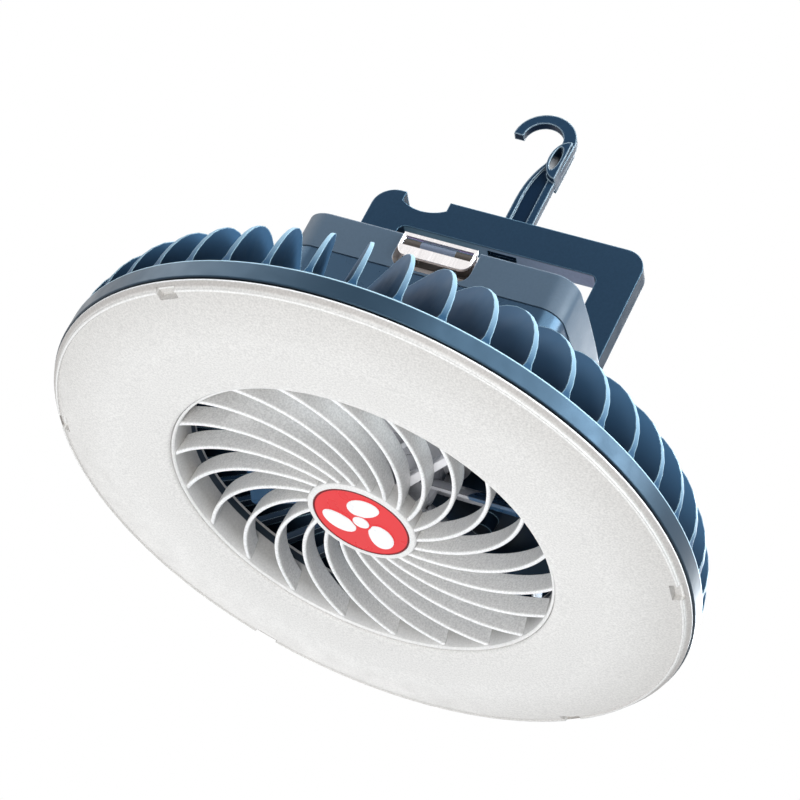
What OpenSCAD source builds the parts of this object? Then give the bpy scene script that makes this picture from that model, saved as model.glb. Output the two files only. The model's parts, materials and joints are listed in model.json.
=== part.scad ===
/* [Light disc] */
// Outside diameter of the blue rim
disc_d = 200; // [198:1:204]
// Height of the blue rim band
band_h = 6.1; // [5:0.1:7]
// Height of the seam between light ring and rim above the crown
seam_z = 6.5; // [6.3:0.1:6.8]
// Diameter of the fan opening inside the grille's throat ring
throat_d = 118; // [116:1:118]
// Radius of the lowest ring of the crowned light ring
crown_r = 70; // [68:1:76]
// Wall thickness of the moulded shells
wall = 2.2; // [1.8:0.1:2.4]

/* [Fins] */
// Number of swept fins around the rim
fin_count = 48; // [36:2:48]
// Thickness of one fin
fin_t = 1.7; // [1.2:0.1:1.9]
// Sweep of the fins away from the radius
fin_sweep = 23; // [10:1:25]
// Height of the fin tops above the table
fin_top_z = 38.5; // [37.5:0.5:39]

/* [Grille] */
// Number of swirl vanes
vane_count = 22; // [16:1:24]
// Thickness of a vane
vane_t = 1.4; // [1:0.1:1.6]
// Radius of the arc that each vane follows
vane_arc_r = 42.9; // [42.5:0.1:43.5]
// Depth of a vane along the axis
vane_depth = 6.5; // [4:0.5:8]
// Diameter of the hub ring
hub_d = 34; // [32:0.5:36]
// Diameter of the round centre badge
badge_d = 30; // [26:0.5:30]

/* [Impeller] */
// Number of blades
blade_count = 7; // [5:1:9]
// Diameter over the blade tips
rotor_d = 110; // [100:1:112]
// Angle of the blades to the plane of the disc
blade_pitch = 34; // [25:1:38]

/* [Battery box] */
// Width of the cover across the middle of its bowed sides
box_w = 90.7; // [89.5:0.1:91.5]
// Depth of the cover
box_d = 86.4; // [85.6:0.1:87]
// Corner radius of the cover
box_corner = 7.5; // [6.5:0.1:8]
// Height of the dark lower shell
base_h = 23.4; // [23.2:0.1:24.4]
// Height of the lighter cover
cover_h = 12.85; // [12.6:0.05:13.4]

/* [Handle] */
// Width of the folding plate
handle_w = 88; // [86:0.5:88]
// Thickness of the folding plate
handle_t = 6.5; // [6:0.1:6.6]
// Distance from the hinge axis to the plate's top edge
handle_reach = 39.4; // [38.8:0.1:39.8]
// Width of the plate's bars beside the window
handle_bar = 11.7; // [11.5:0.1:12.5]

/* [Hook] */
// Width of the flat shank
shank_w = 9; // [8.6:0.1:9.2]
// Thickness of the flat shank
shank_t = 2.8; // [2.6:0.1:3]
// Height of the hook's top above the plate when it is pulled out
hook_rise = 43.2; // [42.8:0.1:43.6]
// Outer radius of the curl
curl_r = 9.95; // [9.6:0.05:10.1]

/* [Latch] */
// Width of the chrome leaf
latch_w = 23; // [22:0.1:24]
// Centre of the latch from the middle of the box
latch_x = 0.2; // [-1:0.1:1]

/* [Buttons] */
// Diameter of the push buttons
button_d = 11; // [9:0.5:12]
// Distance of each button from the middle
button_x = 14; // [12:0.5:16]

/* [Hidden] */

$fn = 96;
eps = 0.01;

// Levels along the axis, from the crown of the light ring up
disc_r = disc_d / 2;
band_z = seam_z + band_h;
deck_z = 36.5;
split_z = deck_z + base_h;
back_z = split_z + cover_h;
handle_gap = 0.3;
axis_z = back_z + handle_gap + handle_t / 2;
plate_z = axis_z + handle_reach;

// Housing: gutter behind the rim, cone and flat deck
rim_wall = 2.4;
rim_top_wall = 1.6;
gutter_z = band_z - 1.2;
gutter_r = disc_r - 4;
deck_r = 57;
ledge_z = 9.6;
ledge_r = 91.2;
first_fin = 4;
cone_slope = (deck_z - gutter_z) / (gutter_r - deck_r);
cone_drop = wall * sqrt(1 + cone_slope * cone_slope);

// Light ring and the board behind it
throat_r = throat_d / 2;
lip_r = throat_r + 1;
board_t = 1.6;
board_z = ledge_z - board_t;
board_in_r = lip_r + 0.4;
board_out_r = 93.6;
shoulder_r = disc_r - 2.2;
shoulder_z = seam_z - 2.6;

// Grille
vane_z = 2.1;
hub_r = hub_d / 2;
grille_back_z = 14;
flange_t = 1.6;

// Motor stack
shaft_r = 1.5;
running_gap = 0.03;
rotor_z = 15.2;
bell_r = 14.3;
bracket_t = 1.5;
deck_in_z = deck_z - wall;

// Battery box
shell_t = 2;
base_inset = 0.25;
side_r = 265;
corner_y = box_d / 2 - box_corner;
corner_x = box_w / 2 - side_r + sqrt(pow(side_r - box_corner, 2) - corner_y * corner_y);
screw_x = 38;
screw_y = 36;
post_r = 3.4;
base_screw_x = 22;
base_screw_y = 32;
button_y = 22;
switch_board_t = 1.6;
board_top = split_z + switch_board_t;
press_travel = 0.8;

// Handle, hook and latch
pin_r = 1.5;
pin_gap = 0.05;
knuckle_x = 24;
knuckle_w = 8.6;
window_h = 17.5;
top_bar = handle_bar + 0.5;
slot_x = 0.9;
latch_axis_y = -box_d / 2 + 0.4;
latch_axis_z = back_z - 3.2;
latch_r = 1.4;
latch_pin_r = 0.8;
latch_rim = 0.8;
latch_recess = 4.9;
roller_w = 10.8;
lug_gap = 0.1;

// Height of the outer cone's surface at a radius
function cone_z(r) = gutter_z + (gutter_r - r) * cone_slope;

// Height of an arc that touches the level z0 at the crown radius
function crown_z(r, arc_r, z0) = z0 + arc_r - sqrt(arc_r * arc_r - pow(r - crown_r, 2));

// Ring with a straight wall between two radii
module tube(r_in, r_out, z0, z1) {
    rotate_extrude() translate([r_in, z0]) square([r_out - r_in, z1 - z0]);
}

// Layer of the battery box with bowed sides, set in by s0 at its lower and s1 at its upper face
module box_layer(s0, s1, z0, z1) {
    h = z1 - z0;
    reach = 2 * box_w;
    bow_x = box_w / 2 - side_r;
    spread = corner_y / (corner_x - bow_x);
    dip = s0 == s1 ? 0 : 0.04;  // keeps a tapered corner's cone off its neighbours' faces
    translate([-corner_x, 0, z0]) rotate([90, 0, 90]) linear_extrude(height = 2 * corner_x) polygon([
        [s0 - box_d / 2, 0], [box_d / 2 - s0, 0], [box_d / 2 - s1, h], [s1 - box_d / 2, h]]);
    for (k = [0, 1]) mirror([k, 0, 0]) {
        intersection() {
            translate([bow_x, 0, z0]) cylinder(r1 = side_r - s0, r2 = side_r - s1, h = h, $fn = 720);
            translate([0, 0, z0]) linear_extrude(height = h) polygon([
                [0, bow_x * spread], [reach, (bow_x - reach) * spread],
                [reach, (reach - bow_x) * spread], [0, -bow_x * spread]]);
        }
        for (y = [-1, 1]) translate([corner_x, y * corner_y, z0])
            cylinder(r1 = box_corner - s0, r2 = box_corner - s1 - dip, h = h);
    }
}

// Slot with round ends, long in X, cut along Y
module slot_y(w, h, y0, y1) {
    translate([-(w - h) / 2, y0, -h / 2]) cube([w - h, y1 - y0, h]);
    for (x = [-1, 1])
        translate([x * (w - h) / 2, y0, 0]) rotate([-90, 0, 0]) cylinder(d = h, h = y1 - y0);
}

// Cylinder along X from x0 to x1 about the line through y, z
module rod_x(r, x0, x1, y, z) {
    translate([x0, y, z]) rotate([0, 90, 0]) cylinder(r = r, h = x1 - x0);
}

// Cylinder along Y from y0 to y1 about the line through x, z
module rod_y(r, x, z, y0, y1) {
    translate([x, y0, z]) rotate([-90, 0, 0]) cylinder(r = r, h = y1 - y0);
}

// Straight bars swept off the radius, one for each fin or slot; half widths at foot, waist and top
module swept_bars(foot, waist, top, turn) {
    reach = disc_r - deck_r + 8;
    foot_z = band_z + 2;
    for (k = [0:fin_count - 1])
        rotate([0, 0, turn + k * 360 / fin_count]) translate([disc_r, 0, 0])
            rotate([0, 0, 180 + fin_sweep]) translate([-2, 0, 0])
                rotate([90, 0, 90]) linear_extrude(height = reach) polygon([
                    [-foot, gutter_z - 1], [foot, gutter_z - 1], [foot, band_z], [waist, foot_z],
                    [top, fin_top_z + 1], [-top, fin_top_z + 1], [-waist, foot_z], [-foot, band_z]]);
}

// Frosted light ring: crown, shoulder, snap skirt and two ribs that hold the board
module diffuser_ring() {
    crown_arc = 105;
    skin = 1.8;
    lip = 0.9;
    edge_r = disc_r - 0.5;
    top_z = seam_z - 0.5;
    rim_in = disc_r - rim_wall - 0.4;
    rib = 1.6;
    notch_angles = [-178, -119, -5, 54, 118];
    notch_w = 7;
    notch_r = 95.2;
    notch_d = 3.4;
    notch_z = shoulder_z + 1.3;
    bead_r = shoulder_r - 0.7;
    bead_z = crown_z(bead_r, crown_arc, 0) - 0.35;
    steps = 16;
    outer = [for (i = [0:steps]) let (r = bead_r + (lip_r + lip - bead_r) * i / steps)
             [r, crown_z(r, crown_arc, 0)]];
    lip_arc = [for (i = [1:4]) let (a = 90 * i / 4)
               [lip_r + lip * (1 - sin(a)), crown_z(lip_r, crown_arc, 0) + lip * (1 - cos(a))]];
    inner_r0 = lip_r + rib;
    inner_r1 = board_out_r - rib;
    inner = [for (i = [0:steps]) let (r = inner_r0 + (inner_r1 - inner_r0) * i / steps)
             [r, crown_z(r, crown_arc - skin, skin)]];
    color([0.86, 0.86, 0.85]) difference() {
        rotate_extrude() polygon(concat(
            [[edge_r, top_z], [edge_r, top_z - 0.5], [shoulder_r + 0.3, shoulder_z + 0.2],
             [shoulder_r + 0.25, shoulder_z - 0.35], [shoulder_r, bead_z + 0.25], [bead_r + 0.25, bead_z]],
            outer, lip_arc, [[lip_r, board_z], [inner_r0, board_z]], inner,
            [[inner_r1, board_z], [board_out_r, board_z], [board_out_r, top_z],
             [rim_in - rib, top_z], [rim_in - rib, ledge_z], [rim_in, ledge_z], [rim_in, top_z]]));
        for (a = notch_angles)
            rotate([0, 0, a]) translate([notch_r, -notch_w / 2, 0]) cube([notch_d, notch_w, notch_z]);
    }
}

// One swirl vane: an arc wall with a rounded front edge
module vane(arc_c, turn, a0, a1) {
    nose = vane_t / 2;
    back_t = vane_t * 0.7;
    section = concat(
        [for (i = [0:6]) let (a = 180 + 180 * i / 6) [nose * cos(a), vane_z + nose + nose * sin(a)]],
        [[back_t / 2, vane_z + vane_depth], [-back_t / 2, vane_z + vane_depth]]);
    rotate([0, 0, turn]) translate([-arc_c, 0, 0]) rotate([0, 0, a0])
        rotate_extrude(angle = a1 - a0) translate([vane_arc_r, 0]) polygon(section);
}

// Front guard: throat ring with its back flange
module front_grille() {
    out_r = lip_r - 0.1;
    back_r = throat_r - 1;
    flange_r = 66;
    lip = 0.4;
    color([0.82, 0.82, 0.81]) rotate_extrude() polygon([
        [throat_r - 0.1, 1.3 + lip], [throat_r + lip - 0.1, 1.3], [out_r - 0.1, 1.3], [out_r, 1.3 + lip],
        [out_r, ledge_z], [flange_r, ledge_z], [flange_r, ledge_z + flange_t],
        [out_r, ledge_z + flange_t], [out_r, grille_back_z], [back_r, grille_back_z],
        [back_r, 9]]);
}

// Cup in the middle of the grille
module grille_hub() {
    hub_front = 1.56;
    hub_wall = 1.6;
    floor_z = 2.4;
    hub_back = vane_z + vane_depth;
    color([0.82, 0.82, 0.81]) rotate_extrude() polygon([
        [badge_d / 2 + 0.15, hub_front], [hub_r - 0.4, hub_front], [hub_r, hub_front + 0.4],
        [hub_r, hub_back], [hub_r - hub_wall, hub_back], [hub_r - hub_wall, floor_z + wall],
        [0, floor_z + wall], [0, floor_z], [badge_d / 2 + 0.15, floor_z]]);
}

// Swirl vanes between the hub and the throat ring
module swirl_vanes() {
    arc_c = 37.45;
    first_vane = 25.2;
    joint = 0.02;
    back_r = throat_r - 1;
    // Angles, seen from the arc's centre, at which a vane meets the hub and the throat ring
    function meet(r) = acos((vane_arc_r * vane_arc_r + arc_c * arc_c - r * r)
                            / (2 * vane_arc_r * arc_c));
    color([0.84, 0.84, 0.83]) intersection() {
        union() for (k = [0:vane_count - 1])
            vane(arc_c, first_vane + k * 360 / vane_count, -meet(throat_r + 1.5), -meet(hub_r - 1.4));
        rotate_extrude() polygon([
            [hub_r + joint, 1.3], [throat_r - 0.05 - joint, 1.3], [back_r - joint, 9],
            [back_r - joint, 12], [hub_r + joint, 12]]);
    }
}

// Red disc set into the hub
module hub_badge() {
    badge_z = 1.6;
    badge_t = 0.8;
    bevel = 0.25;
    color([0.94, 0.24, 0.27]) rotate_extrude() polygon([
        [0, badge_z], [badge_d / 2 - bevel, badge_z], [badge_d / 2, badge_z + bevel],
        [badge_d / 2, badge_z + badge_t], [0, badge_z + badge_t]]);
}

// Blue housing: rim band, cone with intake slots and deck
module rear_housing() {
    slot_w = 3.4;
    slot_in_r = 63;
    slot_out_r = 80;
    boss_h = 5;
    boss_hole = 4.5;
    color([0.29, 0.45, 0.6]) difference() {
        union() {
            rotate_extrude() polygon([
                [disc_r - 0.3, seam_z], [disc_r, seam_z + 0.3], [disc_r, band_z - 0.3],
                [disc_r - 0.3, band_z], [disc_r - rim_top_wall, band_z],
                [disc_r - rim_top_wall, gutter_z], [gutter_r, gutter_z], [deck_r, deck_z], [0, deck_z],
                [0, deck_in_z], [deck_r - wall / 3, deck_in_z], [ledge_r, cone_z(ledge_r) - cone_drop],
                [ledge_r, ledge_z], [disc_r - rim_wall, ledge_z], [disc_r - rim_wall, seam_z]]);
            for (x = [-1, 1], y = [-1, 1])
                translate([x * base_screw_x, y * base_screw_y, deck_in_z - boss_h])
                    cylinder(r = post_r, h = boss_h + wall / 2);
        }
        intersection() {
            swept_bars(slot_w / 2, slot_w / 2, slot_w / 2, first_fin + 180 / fin_count);
            tube(slot_in_r, slot_out_r, gutter_z, fin_top_z);
        }
        for (x = [-1, 1], y = [-1, 1])
            translate([x * base_screw_x, y * base_screw_y, deck_in_z - boss_hole])
                cylinder(r = screw_r, h = boss_hole + wall + 1);
        for (a = bracket_screw_angles)
            rotate([0, 0, a]) translate([bracket_screw_r, 0, deck_in_z - 1])
                cylinder(r = small_screw_r, h = 1 + wall - 0.3);
        translate([0, wire_y, deck_in_z - 1]) cylinder(r = wire_r, h = wall + 2);
    }
}

// Crown of swept fins: plates with a flared foot that stand on the rim and the cone
module swept_fins() {
    shoulder = 22;
    fin_in_r = 60.5;
    joint = 0.02;
    foot = fin_t * 0.76;
    rise = fin_top_z - band_z;
    rim_r = disc_r - rim_top_wall - joint;
    low = gutter_z + joint;
    cone_joint = joint * sqrt(1 + cone_slope * cone_slope);
    fin_curve = [for (i = [0:9]) let (a = 10 * i)
                 [disc_r - 0.4 - shoulder * (1 - cos(a)), band_z + joint + rise * sin(a)]];
    color([0.31, 0.47, 0.62]) intersection() {
        swept_bars(foot, fin_t / 2, fin_t * 0.24, first_fin);
        rotate_extrude() polygon(concat(
            [[rim_r, low], [rim_r, band_z + joint]], fin_curve,
            [[fin_in_r + 1, fin_top_z + joint], [fin_in_r, fin_top_z - 1],
             [fin_in_r, cone_z(fin_in_r) + cone_joint], [gutter_r - joint, cone_z(gutter_r - joint) + cone_joint],
             [gutter_r, low]]));
    }
}

// Screws and wire passage shared by several pieces
screw_r = 1.45;
small_screw_r = 1.25;
bracket_screw_r = 17;
bracket_screw_angles = [30, 150, 270];
wire_y = 26;
wire_r = 3;

// Ring-shaped aluminium board that carries the lights
module led_board() {
    color([0.93, 0.93, 0.9]) difference() {
        tube(board_in_r, board_out_r, board_z, ledge_z);
        rotate([0, 0, 90]) translate([88, 0, board_z - 1]) cylinder(r = 1.5, h = board_t + 2);
    }
}

// Two rings of light sources under the board
module led_chips() {
    chip = [2.8, 3.5, 0.8];
    color([0.95, 0.85, 0.4])
        for (ring_r = [72, 85], k = [0:23])
            rotate([0, 0, k * 15 + ring_r]) translate([ring_r - chip[0] / 2, -chip[1] / 2, board_z - chip[2]])
                cube(chip);
}

// Flat ring that keeps the air path out of the light chamber
module air_baffle() {
    low_z = ledge_z + flange_t;
    baffle_t = 1.2;
    out_r = gutter_r - (low_z + baffle_t + cone_drop - gutter_z) / cone_slope - 0.1;
    color([0.2, 0.24, 0.28]) tube(lip_r, out_r, low_z, low_z + baffle_t);
}

// One impeller blade: a cambered strip cut from a thin shell whose axis is radial
module blade() {
    camber_r = 30;
    blade_t = 1.5;
    chord = 28;
    mid_z = 21.6;
    half = asin(chord / 2 / camber_r);
    translate([0, 0, mid_z]) rotate([blade_pitch, 0, 0]) translate([0, 0, -camber_r * cos(half / 2)])
        rotate([0, 90, 0]) rotate([0, 0, 180 - half]) rotate_extrude(angle = 2 * half)
            translate([camber_r - blade_t, 0]) square([blade_t, rotor_d / 2 + 2]);
}

// Seven-blade impeller with a domed hub
module fan_rotor() {
    nose_r = 11;
    hub_out = bell_r + 1.3;
    hub_top = 27.4;
    seat_z = rotor_z + 3;
    boss_r = 4;
    boss_top = 20.2;
    color([0.12, 0.2, 0.29]) {
        rotate_extrude() polygon([
            [shaft_r, rotor_z], [nose_r, rotor_z], [hub_out - 1, rotor_z + 1.4], [hub_out, rotor_z + 3.2],
            [hub_out, hub_top], [bell_r, hub_top], [bell_r, seat_z], [boss_r, seat_z],
            [boss_r, boss_top], [shaft_r, boss_top]]);
        intersection() {
            union() for (k = [0:blade_count - 1]) rotate([0, 0, k * 360 / blade_count]) blade();
            tube(hub_out - 0.6, rotor_d / 2, rotor_z, 28.5);
        }
    }
}

// Steel can of the outrunner motor, inside the impeller's hub
module motor_bell() {
    seat_z = rotor_z + 3;
    can_t = 1;
    slip = 0.05;
    color([0.72, 0.73, 0.75]) rotate_extrude() polygon([
        [4.2, seat_z], [bell_r - slip, seat_z], [bell_r - slip, 27.4], [bell_r + 0.6, 27.4],
        [bell_r + 0.6, 28.6], [bell_r - can_t, 28.6], [bell_r - can_t, seat_z + can_t],
        [4.2, seat_z + can_t]]);
}

// Steel shaft with a groove for its clip
module motor_shaft() {
    color([0.8, 0.8, 0.82]) rotate_extrude() polygon([
        [0, rotor_z], [shaft_r - 0.3, rotor_z], [shaft_r, rotor_z + 0.3], [shaft_r, 31.3], [1.1, 31.3],
        [1.1, 31.8], [shaft_r, 31.8], [shaft_r, 32.2], [shaft_r - 0.3, 32.5], [0, 32.5]]);
}

// Open ring in the shaft's groove
module shaft_clip() {
    color([0.5, 0.5, 0.52]) difference() {
        tube(1.1, 2.6, 31.3, 31.8);
        translate([0, -0.8, 31]) cube([3, 1.6, 1]);
    }
}

// Wound core: ring of nine teeth with pole shoes
tooth_count = 9;
tooth_w = 2.6;
core_z0 = 20.6;
core_z1 = 27.4;
tube_r = 4.9;
module motor_stator() {
    yoke_r = 6.6;
    shoe_r0 = 11.2;
    shoe_r1 = 12.6;
    gap_w = 1.6;
    color([0.35, 0.36, 0.38]) difference() {
        union() {
            tube(tube_r, yoke_r, core_z0, core_z1);
            tube(shoe_r0, shoe_r1, core_z0, core_z1);
            for (k = [0:tooth_count - 1])
                rotate([0, 0, k * 360 / tooth_count]) translate([yoke_r - 0.4, -tooth_w / 2, core_z0])
                    cube([shoe_r0 - yoke_r + 0.8, tooth_w, core_z1 - core_z0]);
        }
        for (k = [0:tooth_count - 1])
            rotate([0, 0, (k + 0.5) * 360 / tooth_count])
                translate([shoe_r0 - 1, -gap_w / 2, core_z0 - 1]) cube([3, gap_w, core_z1 - core_z0 + 2]);
    }
}

// Copper coils around the teeth
module stator_coils() {
    coil_r0 = 7.1;
    coil_l = 3.9;
    wire_t = 0.8;
    color([0.75, 0.42, 0.2])
        for (k = [0:tooth_count - 1])
            rotate([0, 0, k * 360 / tooth_count]) difference() {
                translate([coil_r0, -tooth_w / 2 - wire_t, core_z0 - wire_t])
                    cube([coil_l, tooth_w + 2 * wire_t, core_z1 - core_z0 + 2 * wire_t]);
                translate([coil_r0 - 1, -tooth_w / 2, core_z0])
                    cube([coil_l + 2, tooth_w, core_z1 - core_z0]);
            }
}

// Bronze bush that the shaft runs in
module shaft_bush() {
    color([0.72, 0.52, 0.3]) tube(shaft_r + running_gap, 3, 20.8, 31);
}

// Plate on the deck with the tube that holds bush and core
module motor_bracket() {
    plate_r = 21.5;
    plate_z0 = deck_in_z - bracket_t;
    window_r0 = 9;
    window_r1 = 14;
    window_a = 84;
    color([0.88, 0.88, 0.86]) difference() {
        rotate_extrude() polygon([
            [3, 20.6], [tube_r, 20.6], [tube_r, plate_z0], [plate_r, plate_z0],
            [plate_r, deck_in_z], [3, deck_in_z]]);
        for (a = bracket_screw_angles) rotate([0, 0, a + 60 - window_a / 2])
            rotate_extrude(angle = window_a) translate([window_r0, plate_z0 - 1])
                square([window_r1 - window_r0, bracket_t + 2]);
        for (a = bracket_screw_angles) rotate([0, 0, a])
            translate([bracket_screw_r, 0, plate_z0 - 1]) cylinder(r = small_screw_r, h = bracket_t + 2);
    }
}

// Screw with a round head, pointing up from z; turned over when up is -1
module screw(r, head_r, head_h, length, up) {
    mirror([0, 0, up < 0 ? 1 : 0]) difference() {
        union() {
            translate([0, 0, -head_h]) cylinder(r = head_r, h = head_h);
            cylinder(r = r, h = length);
        }
        for (a = [0, 90]) rotate([0, 0, a])
            translate([-head_r * 0.6, -0.3, -head_h - 1]) cube([head_r * 1.2, 0.6, 1.7]);
    }
}

// Three screws that hold the bracket to the deck
module bracket_screws() {
    color([0.6, 0.6, 0.62])
        for (a = bracket_screw_angles) rotate([0, 0, a])
            translate([bracket_screw_r, 0, deck_in_z - bracket_t])
                screw(small_screw_r, 2.4, 1.4, bracket_t + 1.7, 1);
}

// Dark lower shell of the battery box
module box_base() {
    floor_t = 2;
    inside = base_inset + shell_t;
    color([0.18, 0.25, 0.32]) difference() {
        union() {
            difference() {
                box_layer(base_inset, base_inset, deck_z, split_z);
                box_layer(inside, inside, deck_z + floor_t, split_z + 1);
            }
            for (x = [-1, 1], y = [-1, 1])
                translate([x * screw_x, y * screw_y, deck_z + 1]) cylinder(r = post_r, h = base_h - 1);
            for (x = [-1, 1], y = board_screw_y)
                translate([x * board_screw_x, y, deck_z + 1]) cylinder(r = 2.6, h = base_h - 1);
        }
        for (x = [-1, 1], y = [-1, 1]) {
            translate([x * screw_x, y * screw_y, split_z - 13]) cylinder(r = small_screw_r, h = 14);
            translate([x * base_screw_x, y * base_screw_y, deck_z - 1])
                cylinder(r = screw_r, h = floor_t + 2);
        }
        for (x = [-1, 1], y = board_screw_y)
            translate([x * board_screw_x, y, split_z - 6]) cylinder(r = 1, h = 7);
        translate([0, wire_y, deck_z - 1]) cylinder(r = wire_r, h = floor_t + 2);
    }
}
board_screw_x = 37;
board_screw_y = [9, 23];

// Four screws from the battery box down into the deck's bosses
module base_screws() {
    color([0.6, 0.6, 0.62])
        for (x = [-1, 1], y = [-1, 1])
            translate([x * base_screw_x, y * base_screw_y, deck_z + 2]) screw(screw_r, 2.8, 1.8, 8.2, -1);
}

// Grey cover: shell, screw posts, latch pocket, hinge knuckles and button holes
module box_cover() {
    inner_z = back_z - shell_t;
    edge = 0.5;
    recess_w = latch_w + 1.2;
    recess_z = split_z + 0.9;
    recess_back = -box_d / 2 + latch_recess;
    recess_corner = 4;
    post_head_r = 2.9;
    head_z = back_z - 3.2;
    color([0.36, 0.42, 0.48]) difference() {
        union() {
            difference() {
                union() {
                    box_layer(0, 0, split_z, back_z - edge);
                    box_layer(0, edge, back_z - edge, back_z);
                }
                box_layer(shell_t, shell_t, split_z - 1, inner_z);
            }
            for (x = [-1, 1], y = [-1, 1])
                translate([x * screw_x, y * screw_y, split_z]) cylinder(r = post_r, h = cover_h - 1);
            translate([latch_x - recess_w / 2 - 1.5, -box_d / 2 + 1, split_z])
                cube([recess_w + 3, latch_recess + 0.6, cover_h - 1]);
        }
        translate([latch_x - recess_w / 2, -box_d / 2 - 1, recess_z + recess_corner])
            cube([recess_w, latch_recess + 1, back_z]);
        translate([latch_x - recess_w / 2 + recess_corner, -box_d / 2 - 1, recess_z])
            cube([recess_w - 2 * recess_corner, latch_recess + 1, recess_corner + 1]);
        for (x = [-1, 1])
            rod_y(recess_corner, latch_x + x * (recess_w / 2 - recess_corner), recess_z + recess_corner,
                  -box_d / 2 - 1, recess_back);
        for (x = [-1, 1], y = [-1, 1]) translate([x * screw_x, y * screw_y, 0]) {
            translate([0, 0, split_z - 1]) cylinder(r = screw_r, h = cover_h + 2);
            translate([0, 0, head_z]) cylinder(r = post_head_r, h = 10);
        }
        for (x = [-1, 1])
            translate([x * button_x, button_y, inner_z - 1]) cylinder(d = button_d + 0.6, h = shell_t + 2);
        translate([0, button_y, inner_z - 1]) cylinder(r = lens_r, h = shell_t + 2);
        translate([0, 0, port_z]) slot_y(port_w + 0.6, port_h + 0.6, box_d / 2 - shell_t - 1, box_d / 2 + 1);
    }
    color([0.36, 0.42, 0.48]) {
        for (x = [-1, 1]) hinge_knuckle(x * knuckle_x);
        flap_ear(port_z + flap_h / 2 + 0.3);
        flap_ear(port_z - flap_h / 2 - 0.3 - ear_t);
    }
}
lens_r = 2;
port_w = 9;
port_h = 3.2;
port_z = board_top + 2.7;
flap_x = -9;
flap_h = 5.2;
flap_t = 1.6;
flap_axis_y = box_d / 2 + 1.1;
ear_t = 1.3;
peg_r = 0.5;

// Knuckle that carries one end of the handle's pin
module hinge_knuckle(x) {
    r = handle_t / 2 - 0.05;
    difference() {
        union() {
            rod_x(r, x - knuckle_w / 2, x + knuckle_w / 2, 0, axis_z);
            translate([x - knuckle_w / 2, -r, back_z - 0.5]) cube([knuckle_w, 2 * r, axis_z - back_z + 0.5]);
        }
        rod_x(pin_r, x - knuckle_w, x + knuckle_w, 0, axis_z);
    }
}

// Bracket on the pocket's back wall with the two lugs that carry the latch's pin
module latch_bracket() {
    plate_t = 0.8;
    bore_gap = 0.03;
    y1 = -box_d / 2 + latch_recess;
    y0 = y1 - plate_t;
    half = latch_w / 2 - latch_rim - 0.3;
    lug_x = roller_w / 2 + lug_gap;
    color([0.29, 0.26, 0.24]) difference() {
        union() {
            translate([latch_x - half, y0, latch_axis_z - 4]) cube([2 * half, plate_t, 6.6]);
            for (k = [0, 1]) translate([latch_x, 0, 0]) mirror([k, 0, 0]) {
                rod_x(latch_r, lug_x, half, latch_axis_y, latch_axis_z);
                translate([lug_x, latch_axis_y + 0.3, latch_axis_z - 3.2])
                    cube([half - lug_x, y0 - latch_axis_y, 3.1]);
            }
        }
        rod_x(latch_pin_r + bore_gap, latch_x - half - 1, latch_x + half + 1, latch_axis_y, latch_axis_z);
    }
}

// Sleeve on the latch's pin between the lugs
module latch_roller() {
    bore_gap = 0.03;
    color([0.45, 0.5, 0.56]) difference() {
        rod_x(latch_r, latch_x - roller_w / 2, latch_x + roller_w / 2, latch_axis_y, latch_axis_z);
        rod_x(latch_pin_r + bore_gap, latch_x - roller_w, latch_x + roller_w, latch_axis_y, latch_axis_z);
    }
}

// Ear on the back wall that holds one peg of the port's flap
module flap_ear(z) {
    r = flap_t / 2 + 0.2;
    difference() {
        union() {
            translate([flap_x, flap_axis_y, z]) cylinder(r = r, h = ear_t);
            translate([flap_x - r, box_d / 2 - 0.5, z]) cube([2 * r, flap_axis_y - box_d / 2 + 0.5, ear_t]);
        }
        translate([flap_x, flap_axis_y, z - 1]) cylinder(r = peg_r + pin_gap, h = ear_t + 2);
    }
}

// Four screws that hold the cover on the base
module box_screws() {
    color([0.6, 0.6, 0.62])
        for (x = [-1, 1], y = [-1, 1])
            translate([x * screw_x, y * screw_y, back_z - 3.2])
                screw(small_screw_r, 2.6, 1.8, cover_h - 3.2 + 12, -1);
}

// Three cylindrical cells lying side by side
module battery_cells() {
    cell_r = 9.2;
    cell_l = 65;
    pitch = 18.9;
    floor_z = deck_z + 2;
    color([0.2, 0.5, 0.75])
        for (k = [-1:1]) {
            rod_x(cell_r, -cell_l / 2, cell_l / 2 - 1.2, k * pitch, floor_z + cell_r);
            rod_x(3, cell_l / 2 - 1.2, cell_l / 2, k * pitch, floor_z + cell_r);
        }
}

// Circuit board on four pillars of the base
module control_board() {
    color([0.1, 0.35, 0.2]) difference() {
        union() {
            translate([-40.5, 5.5, split_z]) cube([81, 21, switch_board_t]);
            translate([-33, 26, split_z]) cube([66, 13.4, switch_board_t]);
        }
        for (x = [-1, 1], y = board_screw_y)
            translate([x * board_screw_x, y, split_z - 1]) cylinder(r = 1.2, h = switch_board_t + 2);
    }
}

// Four screws that hold the board
module board_screws() {
    color([0.6, 0.6, 0.62])
        for (x = [-1, 1], y = board_screw_y)
            translate([x * board_screw_x, y, board_top]) screw(1, 1.9, 1.1, 6.4, -1);
}

// Two push switches under the buttons
module tact_switches() {
    body_w = 6;
    color([0.15, 0.15, 0.16])
        for (x = [-1, 1]) translate([x * button_x, button_y, board_top]) {
            translate([-body_w / 2, -body_w / 2, 0]) cube([body_w, body_w, 2.6]);
            cylinder(r = 1.7, h = 3.2);
        }
}

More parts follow.
